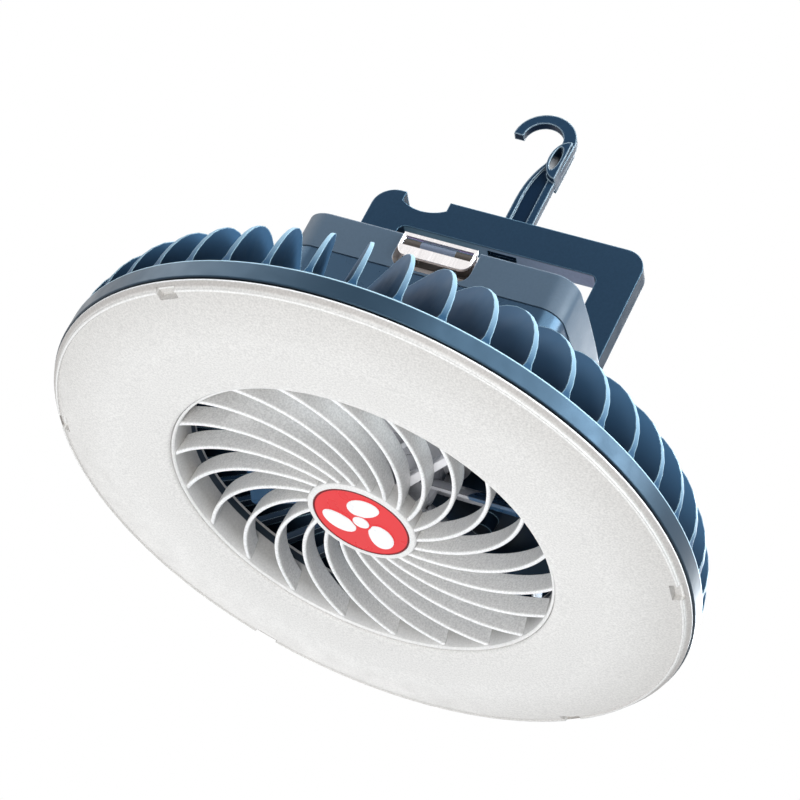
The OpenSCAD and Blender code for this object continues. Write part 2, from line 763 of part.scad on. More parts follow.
// Charging socket on the edge of the board
module charge_socket() {
    y0 = box_d / 2 - shell_t - 7.4;
    y1 = box_d / 2 - shell_t;
    skin = 0.35;
    color([0.7, 0.7, 0.72]) translate([0, 0, port_z]) {
        difference() {
            union() {
                slot_y(port_w, port_h, y0, y1);
                translate([-port_w / 2 + 1, y0, board_top - port_z]) cube([port_w - 2, 5, 1.6]);
            }
            slot_y(port_w - 2 * skin, port_h - 2 * skin, y0 + 1, y1 + 1);
        }
        translate([-port_w / 2 + 1.4, y0 + 0.5, -0.35]) cube([port_w - 2.8, 5.6, 0.7]);
    }
}

// Rubber flap with a plug that fills the port
module port_flap() {
    flap_w = 15.4;
    bead_r = flap_t / 2;
    wall_y = box_d / 2 + 0.3;
    peg_l = ear_t + 0.3;
    plug_y = box_d / 2 - 1;
    color([0.13, 0.14, 0.16]) {
        translate([flap_x, flap_axis_y, port_z - flap_h / 2]) cylinder(r = bead_r, h = flap_h);
        translate([flap_x, flap_axis_y, port_z - flap_h / 2 - peg_l]) cylinder(r = peg_r, h = flap_h + 2 * peg_l);
        translate([flap_x, wall_y, port_z - flap_h / 2]) cube([flap_w - flap_h / 2, flap_t, flap_h]);
        rod_y(flap_h / 2, flap_x + flap_w - flap_h / 2, port_z, wall_y, wall_y + flap_t);
        translate([0, 0, port_z]) slot_y(port_w - 0.4, port_h - 0.4, plug_y, wall_y + 0.2);
    }
}

// Push button with an inner flange and a stem
module push_button() {
    inner_z = back_z - shell_t;
    dish = 0.35;
    rotate_extrude() polygon([
        [0, board_top + 3.2 + press_travel + 0.3], [1.6, board_top + 3.2 + press_travel + 0.3],
        [1.6, inner_z - 1.5], [button_d / 2 + 1.3, inner_z - 1.5], [button_d / 2 + 1.3, inner_z - 0.2],
        [button_d / 2, inner_z - 0.2], [button_d / 2, back_z + 0.7], [button_d / 2 - 0.4, back_z + 1.1],
        [button_d / 2 - 1.2, back_z + 1.1], [0, back_z + 1.1 - dish]]);
}

// Button of the fan
module fan_button() {
    color([0.14, 0.2, 0.27]) translate([-button_x, button_y, 0]) push_button();
}

// Button of the light
module light_button() {
    color([0.14, 0.2, 0.27]) translate([button_x, button_y, 0]) push_button();
}

// Clear light pipe between the buttons
module status_lens() {
    inner_z = back_z - shell_t;
    color([0.85, 0.9, 0.92]) translate([0, button_y, 0]) rotate_extrude() polygon([
        [0, inner_z - 3], [1.2, inner_z - 3], [1.2, inner_z - 1], [lens_r + 1, inner_z - 1],
        [lens_r + 1, inner_z], [lens_r, inner_z], [lens_r, back_z + 0.1], [0, back_z + 0.3]]);
}

// Chrome leaf: framed window above a thumb plate, with a cheek on the pin at each end
module latch_leaf() {
    leaf_t = 1;
    front_y = latch_axis_y - 1.6;
    top_z = back_z - 0.35;
    low_z = top_z - 8;
    corner = 3.2;
    window_h2 = 1.6;
    inner = latch_w / 2 - latch_rim;
    color([0.85, 0.84, 0.82]) difference() {
        union() {
            translate([latch_x - latch_w / 2, front_y, low_z + corner])
                cube([latch_w, leaf_t, top_z - low_z - corner]);
            translate([latch_x - latch_w / 2 + corner, front_y, low_z])
                cube([latch_w - 2 * corner, leaf_t, corner + 1]);
            for (x = [-1, 1])
                rod_y(corner, latch_x + x * (latch_w / 2 - corner), low_z + corner, front_y, front_y + leaf_t);
            for (x = [-latch_w / 2, inner])
                rod_x(latch_r, latch_x + x, latch_x + x + latch_rim, latch_axis_y, latch_axis_z);
        }
        translate([latch_x - inner, front_y - 1, latch_axis_z - window_h2])
            cube([2 * inner, leaf_t + 2, 2 * window_h2]);
        rod_x(latch_pin_r + pin_gap, latch_x - latch_w, latch_x + latch_w, latch_axis_y, latch_axis_z);
    }
}

// Pin of the latch
module latch_pin() {
    half = latch_w / 2 - 0.05;
    color([0.7, 0.7, 0.72]) rod_x(latch_pin_r, latch_x - half, latch_x + half, latch_axis_y, latch_axis_z);
}

// Folding plate: window, bottle opener, hook slot and the notches round the knuckles
module handle_frame() {
    corner = 7;
    y0 = -handle_t / 2;
    window_w = handle_w - 2 * handle_bar;
    window_z1 = plate_z - top_bar;
    window_z0 = window_z1 - window_h;
    window_r = 2.5;
    notch_r = 12.6;
    notch_x = -28.05;
    notch_w = 14.5;
    knuckle_room = 0.35;
    color([0.2, 0.27, 0.34]) difference() {
        union() {
            rod_x(handle_t / 2, -handle_w / 2, handle_w / 2, 0, axis_z);
            translate([-handle_w / 2, y0, axis_z]) cube([handle_w, handle_t, handle_reach - corner]);
            translate([-handle_w / 2 + corner, y0, axis_z]) cube([handle_w - 2 * corner, handle_t, handle_reach]);
            for (x = [-1, 1]) rod_y(corner, x * (handle_w / 2 - corner), plate_z - corner, y0, -y0);
        }
        translate([-window_w / 2 + window_r, y0 - 1, window_z0])
            cube([window_w - 2 * window_r, handle_t + 2, window_h]);
        translate([-window_w / 2, y0 - 1, window_z0 + window_r])
            cube([window_w, handle_t + 2, window_h - 2 * window_r]);
        for (x = [-1, 1], z = [window_z0 + window_r, window_z1 - window_r])
            rod_y(window_r, x * (window_w / 2 - window_r), z, y0 - 1, 1 - y0);
        intersection() {
            rod_y(notch_r, notch_x, plate_z + 7, y0 - 1, 1 - y0);
            translate([notch_x - notch_w / 2, y0 - 2, plate_z - notch_r]) cube([notch_w, handle_t + 4, 20]);
        }
        translate([slot_x - shank_w / 2 - 0.2, -shank_t / 2 - 0.2, window_z1 - 1])
            cube([shank_w + 0.4, shank_t + 0.4, top_bar + 2]);
        translate([slot_x - foot_w / 2 - 0.2, 0, window_z1 - 1])
            cube([foot_w + 0.4, shank_t / 2 + foot_h + 0.2, top_bar - 1.5]);
        for (x = [-1, 1])
            translate([x * knuckle_x - knuckle_w / 2 - knuckle_room, y0 - 1, axis_z - handle_t])
                cube([knuckle_w + 2 * knuckle_room, handle_t + 2, handle_t * 1.5 + knuckle_room]);
        rod_x(pin_r + pin_gap, -handle_w / 2 - 1, handle_w / 2 - 3.5, 0, axis_z);
    }
}
foot_w = 3;
foot_h = 0.6;

// Steel pin through both knuckles and the plate's lower bar
module handle_pin() {
    color([0.7, 0.7, 0.72]) rod_x(pin_r, 0.3 - handle_w / 2, handle_w / 2 - 4, 0, axis_z);
}

// Points of an ellipse between two angles
function ellipse(x, z, rx, rz, a0, a1, steps) =
    [for (i = [0:steps]) let (a = a0 + (a1 - a0) * i / steps) [x + rx * cos(a), z + rz * sin(a)]];

// Outline in the hook's plane made into a plate of thickness t about y
module hook_plate(t, y, outline) {
    translate([0, y, 0]) rotate([90, 0, 0]) linear_extrude(height = t, center = true) polygon(outline);
}

// Hook that slides in the plate's top bar: ribbed shank, eye boss and open curl
module pullout_hook() {
    bend_z = plate_z + 7;
    bend_h = 17.8;
    bend_w = 3.5;
    end_z = plate_z - 11.1;
    right_x = slot_x + shank_w / 2;
    left_x = slot_x - shank_w / 2;
    curl_x = right_x + 0.5 - curl_r;
    curl_z = plate_z + hook_rise - curl_r;
    inner_r = 6.3;
    inner_x = curl_x - 0.5;
    inner_z = curl_z + 0.2;
    channel = 0.7;
    rib = 1.6;
    rib_loss = 0.6;
    right_rib = 2.35;
    boss_t = 7;
    boss_x = right_x + 0.1;
    boss_z = plate_z + 25.8;
    boss_w = 4.8;
    boss_h = 15;
    eye_w = 2.9;
    eye_h = 9.4;
    steps = 10;
    function bent(z) = z > bend_z ? (z - bend_z) / bend_h : 0;
    function left_edge(z) = left_x + bend_w * pow(bent(z), 2.5);
    edge_z = [for (i = [0:steps]) bend_z + bend_h * i / steps];
    color([0.2, 0.27, 0.34]) {
        difference() {
            union() {
                difference() {
                    hook_plate(shank_t, 0, concat(
                        [[left_x, end_z]], [for (z = edge_z) [left_edge(z), z]],
                        [[inner_x + inner_r, curl_z], [curl_x + curl_r, curl_z],
                         [right_x, boss_z - boss_h / 2], [right_x, end_z]]));
                    for (y = [-1, 1])
                        hook_plate(channel + 0.5, y * (shank_t / 2 - channel / 2 + 0.25), concat(
                            [[left_x + rib, end_z + 9]],
                            [for (z = edge_z) [left_edge(z) + rib - rib_loss * bent(z), z]],
                            [[right_x - right_rib, bend_z + bend_h], [right_x - right_rib, end_z + 9]]));
                }
                hook_plate(boss_t, 0, ellipse(boss_x, boss_z, boss_w, boss_h / 2, 90, 270, 20));
            }
            hook_plate(boss_t + 2, 0,
                       ellipse(boss_x - 2.5, boss_z + 0.3, eye_w / 2, eye_h / 2, 0, 345, 23));
        }
        difference() {
            rod_y(curl_r, curl_x, curl_z, -shank_t / 2, shank_t / 2);
            rod_y(inner_r, inner_x, inner_z, -shank_t, shank_t);
            translate([curl_x - 2 * curl_r, -shank_t, curl_z - 2 * curl_r])
                cube([4 * curl_r, 2 * shank_t, 2 * curl_r - 0.2]);
        }
        translate([slot_x - foot_w / 2, shank_t / 2 - 0.2, plate_z - 5.8])
            cube([foot_w, foot_h + 0.2, 3]);
    }
}

diffuser_ring();
front_grille();
hub_badge();
rear_housing();
led_board();
led_chips();
air_baffle();
fan_rotor();
motor_bell();
motor_shaft();
shaft_clip();
motor_stator();
stator_coils();
shaft_bush();
motor_bracket();
bracket_screws();
box_base();
base_screws();
box_cover();
box_screws();
battery_cells();
control_board();
board_screws();
tact_switches();
charge_socket();
port_flap();
fan_button();
light_button();
status_lens();
latch_leaf();
latch_pin();
handle_frame();
handle_pin();
pullout_hook();
swept_fins();
grille_hub();
swirl_vanes();
latch_bracket();
latch_roller();
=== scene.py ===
import bpy, bmesh, json, math
from mathutils import Matrix, Vector


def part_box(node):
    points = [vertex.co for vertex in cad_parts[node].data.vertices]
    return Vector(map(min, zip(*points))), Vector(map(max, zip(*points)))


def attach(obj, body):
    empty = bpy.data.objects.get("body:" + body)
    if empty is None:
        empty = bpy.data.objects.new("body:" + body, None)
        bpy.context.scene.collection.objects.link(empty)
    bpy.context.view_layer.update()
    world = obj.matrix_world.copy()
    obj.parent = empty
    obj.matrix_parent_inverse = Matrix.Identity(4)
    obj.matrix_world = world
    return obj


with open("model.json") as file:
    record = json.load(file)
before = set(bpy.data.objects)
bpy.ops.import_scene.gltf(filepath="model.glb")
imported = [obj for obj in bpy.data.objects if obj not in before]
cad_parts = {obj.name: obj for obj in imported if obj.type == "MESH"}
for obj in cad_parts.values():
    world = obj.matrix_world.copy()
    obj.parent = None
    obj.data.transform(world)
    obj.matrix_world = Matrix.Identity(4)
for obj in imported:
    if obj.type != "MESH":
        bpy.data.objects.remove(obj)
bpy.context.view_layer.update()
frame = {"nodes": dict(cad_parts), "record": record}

MM = 0.001
X, Y, Z = range(3)
NODES = frame["nodes"]
ROOT = "housing"


# ---------------------------------------------------------------- shader helpers

def linear(c):
    """sRGB 0-255 to the linear value a shader socket takes."""
    out = []
    for v in c:
        v = v / 255
        out.append(v / 12.92 if v <= 0.04045 else ((v + 0.055) / 1.055) ** 2.4)
    return (*out, 1.0)


def scaled(colour, factor):
    """A linear colour made darker or paler, at most white."""
    return (*[min(1, v * factor) for v in colour[:3]], 1)


def nodes_of(name):
    """A new material with one Principled shader, its node tree and that shader."""
    m = bpy.data.materials.new(name)
    m.use_nodes = True
    t = m.node_tree
    t.nodes.clear()
    out = t.nodes.new("ShaderNodeOutputMaterial")
    bsdf = t.nodes.new("ShaderNodeBsdfPrincipled")
    t.links.new(bsdf.outputs[0], out.inputs["Surface"])
    return m, t, bsdf


def feed(t, sock, value):
    """Link another node's output into a socket, or write a plain value there."""
    if isinstance(value, bpy.types.NodeSocket):
        t.links.new(value, sock)
    else:
        sock.default_value = value


def object_coord(t):
    return t.nodes.new("ShaderNodeTexCoord").outputs["Object"]


def object_normal(t):
    return t.nodes.new("ShaderNodeTexCoord").outputs["Normal"]


def noise(t, coord, scale, detail=2.0, rough=0.5):
    n = t.nodes.new("ShaderNodeTexNoise")
    n.inputs["Scale"].default_value = scale
    n.inputs["Detail"].default_value = detail
    n.inputs["Roughness"].default_value = rough
    t.links.new(coord, n.inputs["Vector"])
    return n.outputs["Fac"]


def remap(t, value, a, b, c, d):
    """c where the value is a, d where it is b, and nothing beyond them."""
    n = t.nodes.new("ShaderNodeMapRange")
    for i, v in enumerate((a, b, c, d)):
        n.inputs[i + 1].default_value = v
    t.links.new(value, n.inputs[0])
    return n.outputs[0]


def spread(t, pattern, c, d, low=0.3, high=0.7):
    """A noise pattern, whose values mostly lie from low to high, spread from c to d."""
    return remap(t, pattern, low, high, c, d)


def mix(t, fac, a, b, kind="MIX"):
    n = t.nodes.new("ShaderNodeMix")
    n.data_type = "RGBA"
    n.blend_type = kind
    for sock, v in ((n.inputs[0], fac), (n.inputs[6], a), (n.inputs[7], b)):
        feed(t, sock, v)
    return n.outputs[2]


def maths(t, kind, a, b):
    """One Math node over values or numbers, kept between 0 and 1."""
    n = t.nodes.new("ShaderNodeMath")
    n.operation = kind
    n.use_clamp = True
    for sock, v in zip(n.inputs, (a, b)):
        feed(t, sock, v)
    return n.outputs[0]


def times(t, product, *factors):
    """Masks and numbers multiplied together."""
    for factor in factors:
        product = maths(t, "MULTIPLY", product, factor)
    return product


def vector_maths(t, kind, *values):
    """One Vector Math node; the length and the dot product are plain values."""
    n = t.nodes.new("ShaderNodeVectorMath")
    n.operation = kind
    for sock, v in zip(n.inputs, values):
        feed(t, sock, v)
    return n.outputs["Value" if kind in ("LENGTH", "DOT_PRODUCT") else "Vector"]


def span(t, coord, axis, a, b):
    """0 at a and 1 at b, in millimetres along an axis of the object."""
    s = t.nodes.new("ShaderNodeSeparateXYZ")
    t.links.new(coord, s.inputs[0])
    return remap(t, s.outputs[axis], a * MM, b * MM, 0, 1)


def between(t, coord, axis, a0, a1, b1, b0):
    """1 from a1 to b1 along an axis, fading to 0 at a0 and b0."""
    return times(t, span(t, coord, axis, a0, a1), span(t, coord, axis, b0, b1))


def radius(t, coord, a, b):
    """0 at radius a and 1 at radius b, in millimetres about the disc's axis."""
    flat = vector_maths(t, "MULTIPLY", coord, (1, 1, 0))
    return remap(t, vector_maths(t, "LENGTH", flat), a * MM, b * MM, 0, 1)


def facing(t, axis, a, b):
    """How far a face looks along an axis of its own object: 0 at a, 1 at b."""
    s = t.nodes.new("ShaderNodeSeparateXYZ")
    t.links.new(object_normal(t), s.inputs[0])
    return remap(t, s.outputs[axis], a, b, 0, 1)


def fin_edge(t, coord):
    """1 on a fin's narrow edge, 0 on its broad sides, which look along a circle about the axis."""
    along = vector_maths(t, "NORMALIZE", vector_maths(t, "CROSS_PRODUCT", (0, 0, 1), coord))
    lean = t.nodes.new("ShaderNodeMath")
    lean.operation = "ABSOLUTE"
    t.links.new(vector_maths(t, "DOT_PRODUCT", along, object_normal(t)), lean.inputs[0])
    return remap(t, lean.outputs[0], 0.10, 0.18, 1, 0)


def rounding(t, size):
    """The face's normal with its edges rounded, by a radius in millimetres."""
    bevel = t.nodes.new("ShaderNodeBevel")
    bevel.samples = 4
    bevel.inputs["Radius"].default_value = size * MM
    return bevel.outputs[0]


def edge_mask(t, rounded):
    """1 on rounded edges, 0 on flats: how far the rounded normal leans from the face's own."""
    own = t.nodes.new("ShaderNodeNewGeometry").outputs["Normal"]
    return remap(t, vector_maths(t, "DOT_PRODUCT", rounded, own), 0.80, 0.985, 1.0, 0.0)


def relief(t, bsdf, height, rounded, strength, depth):
    """Bump over the rounded normal, from a height pattern whose depth is in millimetres."""
    b = t.nodes.new("ShaderNodeBump")
    b.inputs["Strength"].default_value = strength
    b.inputs["Distance"].default_value = depth * MM
    t.links.new(height, b.inputs["Height"])
    t.links.new(rounded, b.inputs["Normal"])
    t.links.new(b.outputs[0], bsdf.inputs["Normal"])


# ---------------------------------------------------------------- kinds of material

PATCHES, WEAR = 45, 160  # scales of the broad mottling and of the uneven gloss
GRAIN_DEPTH = 0.03
BRUSH_DEPTH = 0.01
WHITE = (1, 1, 1, 1)


def moulded(name, colour, rough=0.42, grain=1800, bump=0.25, mottle=0.05, speck=0.0,
            edge=None, edge_amount=0.6, bevel=0.35, coat=0.0, spec=0.5,
            paint=None, edge_where=None, tint=(1, 1, 1)):
    """Moulded plastic: fine grain, faint mottling, and a colour painted on rounded edges: a painted
    highlight where paler, painted shade where darker.

    paint(t, coord, colour) lays further tones over the base, mostly painted shade and highlights;
    edge_where(t, coord) fades the painted edge colour.
    """
    m, t, bsdf = nodes_of(name)
    coord = object_coord(t)
    base = linear(colour)
    patches = spread(t, noise(t, coord, PATCHES, 3), 0, 1)
    col = mix(t, patches, scaled(base, 1 - mottle), scaled(base, 1 + mottle))
    if paint:
        col = paint(t, coord, col)
    fine = noise(t, coord, grain, 2.0, 0.6)
    if speck:
        specks = mix(t, spread(t, fine, 0, 1, 0.32, 0.68), scaled(WHITE, 1 - speck), WHITE)
        col = mix(t, 1.0, col, specks, "MULTIPLY")
    rounded = rounding(t, bevel)
    # Painted highlight along the rounded edges where the edge colour is pale, painted shade where it
    # is dark
    if edge:
        mask = times(t, edge_mask(t, rounded), edge_amount)
        if edge_where:
            mask = times(t, mask, edge_where(t, coord))
        col = mix(t, mask, col, linear(edge))
    t.links.new(col, bsdf.inputs["Base Color"])
    relief(t, bsdf, fine, rounded, bump, GRAIN_DEPTH)
    gloss = spread(t, noise(t, coord, WEAR, 2), rough - 0.05, rough + 0.06)
    t.links.new(gloss, bsdf.inputs["Roughness"])
    bsdf.inputs["Specular IOR Level"].default_value = spec
    bsdf.inputs["Specular Tint"].default_value = (*tint, 1)
    bsdf.inputs["Coat Weight"].default_value = coat
    bsdf.inputs["Coat Roughness"].default_value = 0.12
    return m


def metal(name, colour, rough=0.2, brushed=(1, 1, 1), scale=600, bump=0.1, bevel=0.2):
    """Metal with a faint brushed or polished unevenness."""
    m, t, bsdf = nodes_of(name)
    place = t.nodes.new("ShaderNodeMapping")
    place.inputs["Scale"].default_value = brushed
    t.links.new(object_coord(t), place.inputs["Vector"])
    n = noise(t, place.outputs[0], scale, 3, 0.6)
    base = linear(colour)
    t.links.new(mix(t, spread(t, n, 0, 1), scaled(base, 0.88), base), bsdf.inputs["Base Color"])
    t.links.new(spread(t, n, rough * 0.8, rough * 1.25), bsdf.inputs["Roughness"])
    bsdf.inputs["Metallic"].default_value = 1.0
    relief(t, bsdf, n, rounding(t, bevel), bump, BRUSH_DEPTH)
    return m


# ---------------------------------------------------------------- tones over the base colours, mostly painted shade and painted highlights
# Heights, radii and places are the CAD model's, in millimetres; the front looks down, toward -Z.

SHADED = (16, 34, 50)  # painted shade on the hook and plate where they face +X


def over(t, col, mask, colour):
    """Lay a tone over the colour so far, by a mask."""
    return mix(t, mask, col, linear(colour))


def diffuser_tones(t, coord, col):
    """Painted shade toward the snap rim and past the bead, a painted highlight on the bead's crest
    and a white painted highlight on the outer lip.
    """
    rim_shade = times(t, radius(t, coord, 80, 96), 0.7)
    bead_shade = times(t, radius(t, coord, 98.2, 98.6), 0.9)
    crest = times(t, radius(t, coord, 97.2, 97.5), radius(t, coord, 98.0, 97.7), 0.9)
    lip = times(t, radius(t, coord, 99.1, 99.3), span(t, coord, Z, 5.4, 5.7))
    col = over(t, col, rim_shade, (213, 210, 206))
    col = over(t, col, bead_shade, (186, 181, 177))
    col = over(t, col, crest, (250, 249, 247))
    return over(t, col, lip, (255, 255, 255))


def vane_tones(t, coord, col):
    """A painted highlight on the white noses, and walls painted paler deep in the throat to make up
    for the shade there.
    """
    col = over(t, col, times(t, span(t, coord, Z, 6.5, 3.0), 0.8), (224, 223, 221))
    return over(t, col, span(t, coord, Z, 2.45, 2.3), (255, 255, 255))


def grille_tones(t, coord, col):
    """Painted shade on the throat wall, growing with depth, and a dark band of painted shade before
    the ring's pale back edge.
    """
    throat = radius(t, coord, 60, 59.6)
    wall = times(t, throat, span(t, coord, Z, 2.2, 6.5), 0.85)
    gap_shade = times(t, between(t, coord, Z, 10.8, 11.0, 13.1, 13.3), throat)
    col = over(t, col, wall, (184, 182, 179))
    return over(t, col, gap_shade, (40, 50, 60))


def housing_tones(t, coord, col):
    """A black line of painted shade at the rim's foot, a painted highlight along its top and painted
    shade on the cone.
    """
    top_highlight = times(t, span(t, coord, Z, 11.95, 12.2), 0.9)
    cone = radius(t, coord, 98.6, 98.2)
    col = over(t, col, span(t, coord, Z, 6.75, 6.6), (8, 11, 16))
    col = over(t, col, top_highlight, (200, 232, 248))
    return over(t, col, cone, (27, 40, 56))


def rotor_tones(t, coord, col):
    """Satin grey motor cap inside the dark blades."""
    return over(t, col, radius(t, coord, 29.6, 29.0), (196, 197, 202))


def bracket_tones(t, coord, col):
    """Painted lilac reflection under the top of the latch."""
    return over(t, col, span(t, coord, Z, 70.6, 71.0), (176, 160, 214))


def hook_tones(t, coord, col):
    """Painted shade toward +X and on the floor of the channels, between the ribs."""
    channels = times(t, between(t, coord, Y, -1.15, -0.95, 0.95, 1.15), 0.8)
    col = over(t, col, times(t, facing(t, X, 0.5, 0.8), 0.8), SHADED)
    return over(t, col, channels, (14, 32, 54))


def fin_tones(t, coord, col):
    """Painted shade from near navy at the fins' feet to the paler tone of their crests, and a
    painted highlight on the narrow edges.
    """
    edge = mix(t, span(t, coord, Z, 14, 32), linear((44, 76, 104)), linear((178, 214, 236)))
    col = over(t, col, span(t, coord, Z, 33, 13), (19, 32, 48))
    return mix(t, fin_edge(t, coord), col, edge)


def cover_tones(t, coord, col):
    """Latch pocket floor painted pale and warm, painted light against the shade in the pocket."""
    across = between(t, coord, X, -12.1, -11.8, 12.2, 12.5)
    inward = between(t, coord, Y, -43.15, -42.9, -38.0, -37.6)
    return over(t, col, times(t, across, inward), (244, 234, 228))


def handle_tones(t, coord, col):
    """Painted shade toward +X, and a painted reflection, paler to the right, under the top bar, seen
    through the window.
    """
    height = between(t, coord, Z, 103.1, 103.3, 103.7, 103.9)
    bar_reflection = times(t, height, facing(t, Z, -0.6, -0.9), span(t, coord, Y, -3.2, -2.4))
    tone = mix(t, span(t, coord, X, -12, 30), linear((136, 166, 180)), linear((226, 226, 248)))
    col = over(t, col, times(t, facing(t, X, 0.5, 0.8), 0.9), SHADED)
    return mix(t, bar_reflection, col, tone)


def rim_edges(t, coord):
    """Painted edge highlight only near the rim's top."""
    return span(t, coord, Z, 8.5, 11.0)


def fin_edges(t, coord):
    """Painted edge highlight, a little weaker at the fins' feet."""
    return maths(t, "ADD", 0.75, span(t, coord, Z, 14, 30))


def cover_edges(t, coord):
    """Painted edge highlight, except low on the cover, where it meets the base."""
    return span(t, coord, Z, 61, 64)


# ---------------------------------------------------------------- materials, by slot

SKY = (0.4, 0.7, 1.0)  # blue sheen of the dyed plastics
# The pale edge colours are painted highlights along rounded edges; the rotor's black edge colour is
# painted shade
MAT = {
    "diffuser": moulded("opal_diffuser", (232, 230, 227), rough=0.5, grain=1700, bump=0.6,
                        mottle=0.012, speck=0.22, bevel=0.3, paint=diffuser_tones),
    "grille_white": moulded("grille_plastic", (236, 235, 233), rough=0.45, grain=1700, bump=0.4,
                            mottle=0.012, speck=0.14, edge=(255, 255, 255), edge_amount=0.8,
                            bevel=0.3, paint=grille_tones),
    "vane_white": moulded("vane_plastic", (248, 247, 245), rough=0.45, grain=1700, bump=0.4,
                          mottle=0.012, speck=0.25, bevel=0.2, paint=vane_tones),
    "badge_red": moulded("badge_red", (226, 26, 34), rough=0.3, grain=2500, bump=0.05,
                         mottle=0.02, spec=0.3, bevel=0.3),
    "badge_line": moulded("badge_line", (112, 16, 26), rough=0.6, spec=0.2, grain=2500,
                          bump=0.05, mottle=0.02),
    "housing_blue": moulded("housing_blue", (25, 41, 55), rough=0.34, grain=1600, bump=0.15,
                            mottle=0.02, tint=SKY, edge=(190, 226, 244), edge_amount=1.0,
                            bevel=0.6, spec=0.6, paint=housing_tones, edge_where=rim_edges),
    "fin_blue": moulded("fin_blue", (64, 98, 129), rough=0.42, grain=1600, bump=0.15,
                        mottle=0.02, tint=SKY, edge=(196, 232, 248), edge_amount=1.0,
                        bevel=0.5, spec=0.12, paint=fin_tones, edge_where=fin_edges),
    "board_white": moulded("board_white", (226, 226, 218), rough=0.4, mottle=0.02),
    "chip_yellow": moulded("chip_phosphor", (240, 214, 96), rough=0.5, mottle=0.03),
    "baffle_dark": moulded("baffle_dark", (52, 62, 72), rough=0.6),
    # Rotor blades with black edges of painted shade
    "rotor_navy": moulded("rotor_navy", (58, 90, 122), rough=0.25, grain=1400, bump=0.12,
                          mottle=0.03, edge=(10, 14, 20), edge_amount=0.9, bevel=0.5, coat=0.3,
                          spec=0.4, paint=rotor_tones),
    "steel": metal("satin_steel", (205, 206, 210), 0.28, (1, 1, 8)),
    "core_iron": metal("core_iron", (110, 112, 118), 0.5, (1, 1, 30)),
    "copper": metal("copper_wire", (200, 118, 62), 0.35, (1, 1, 40)),
    "bronze": metal("bush_bronze", (176, 132, 80), 0.45),
    "bracket_white": moulded("bracket_white", (226, 225, 228), rough=0.3, mottle=0.02,
                             edge=(255, 255, 255), edge_amount=0.4),
    "screw_steel": metal("screw_steel", (186, 188, 192), 0.25),
    "base_dark": moulded("base_dark", (30, 50, 71), rough=0.3, grain=1300, bump=0.2,
                         mottle=0.02, tint=SKY, edge=(120, 160, 196), edge_amount=0.5,
                         bevel=0.4, spec=0.7),
    "cover_grey": moulded("cover_grey", (80, 98, 115), rough=0.38, grain=1300, bump=0.35,
                          mottle=0.015, speck=0.07, edge=(196, 216, 234), edge_amount=1.0,
                          bevel=0.45, spec=0.2, paint=cover_tones, edge_where=cover_edges),
    "cell_wrap": moulded("cell_wrap", (40, 116, 170), rough=0.3, coat=0.4),
    "circuit_green": moulded("circuit_green", (24, 86, 52), rough=0.35),
    "switch_black": moulded("switch_black", (30, 30, 33), rough=0.5),
    "flap_rubber": moulded("flap_rubber", (38, 42, 48), rough=0.75, grain=900, bump=0.5,
                           mottle=0.06),
    "button_dark": moulded("button_rubber", (40, 53, 68), rough=0.6, grain=900, bump=0.4,
                           mottle=0.05, edge=(84, 104, 124), edge_amount=0.4),
    "lens_clear": moulded("lens_frosted", (220, 232, 238), rough=0.3, coat=0.5),
    "latch_chrome": metal("latch_chrome", (248, 244, 244), 0.16, (1, 1, 0.06), 1400, 0.05, 0.3),
    # The latch bracket's dark brown is painted shade and reflection from inside the latch
    "bracket_dark": moulded("latch_bracket", (74, 66, 60), rough=0.5, mottle=0.05,
                            edge=(140, 130, 122), edge_amount=0.4, paint=bracket_tones),
    "roller_grey": moulded("latch_roller", (112, 122, 142), rough=0.3, mottle=0.03,
                           edge=(180, 190, 205), edge_amount=0.5),
    "handle_slate": moulded("handle_slate", (43, 64, 84), rough=0.55, grain=1300, bump=0.4,
                            mottle=0.02, speck=0.10, edge=(150, 192, 220), edge_amount=1.0,
                            bevel=0.5, spec=0.03, paint=handle_tones, tint=SKY),
}
HOOK = moulded("hook_slate", (37, 60, 82), rough=0.45, grain=1300, bump=0.4, mottle=0.02,
               speck=0.08, edge=(214, 238, 252), edge_amount=1.0, bevel=0.7, spec=0.05,
               paint=hook_tones, tint=SKY)
SIGN_WHITE = moulded("badge_white", (244, 243, 243), rough=0.3, grain=2500, bump=0.05,
                     mottle=0.01, bevel=0.2)


# ---------------------------------------------------------------- the CAD nodes

def shade_smooth(ob, sharp):
    """Smooth shading that keeps the edges sharper than an angle in degrees."""
    for p in ob.data.polygons:
        p.use_smooth = True
    split = ob.modifiers.new("split", "EDGE_SPLIT")
    split.split_angle = math.radians(sharp)


WELD = 0.002  # millimetres
slot_of = {s["node"]: s["material_slot"] for s in frame["record"]["subparts"]}
for name, ob in NODES.items():
    ob.data.materials.clear()
    ob.data.materials.append(HOOK if name == "pullout_hook" else MAT[slot_of[name]])
    for p in ob.data.polygons:
        p.material_index = 0
    if "custom_normal" in ob.data.attributes:
        ob.data.attributes.remove(ob.data.attributes["custom_normal"])
    weld = ob.modifiers.new("weld", "WELD")
    weld.merge_threshold = WELD * MM
    shade_smooth(ob, 32)


# ---------------------------------------------------------------- building pieces

def piece(name, bm, mat, body=ROOT, bevel=0.0):
    """A mesh built in millimetres becomes a piece that rides on a body."""
    me = bpy.data.meshes.new(name)
    bmesh.ops.recalc_face_normals(bm, faces=bm.faces)
    bm.to_mesh(me)
    bm.free()
    me.transform(Matrix.Scale(MM, 4))
    ob = bpy.data.objects.new(name, me)
    bpy.context.scene.collection.objects.link(ob)
    me.materials.append(MAT[mat] if isinstance(mat, str) else mat)
    if bevel:
        b = ob.modifiers.new("bevel", "BEVEL")
        b.width = bevel * MM
        b.segments = 2
        b.limit_method = "ANGLE"
        b.angle_limit = math.radians(35)
    shade_smooth(ob, 40)
    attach(ob, body)


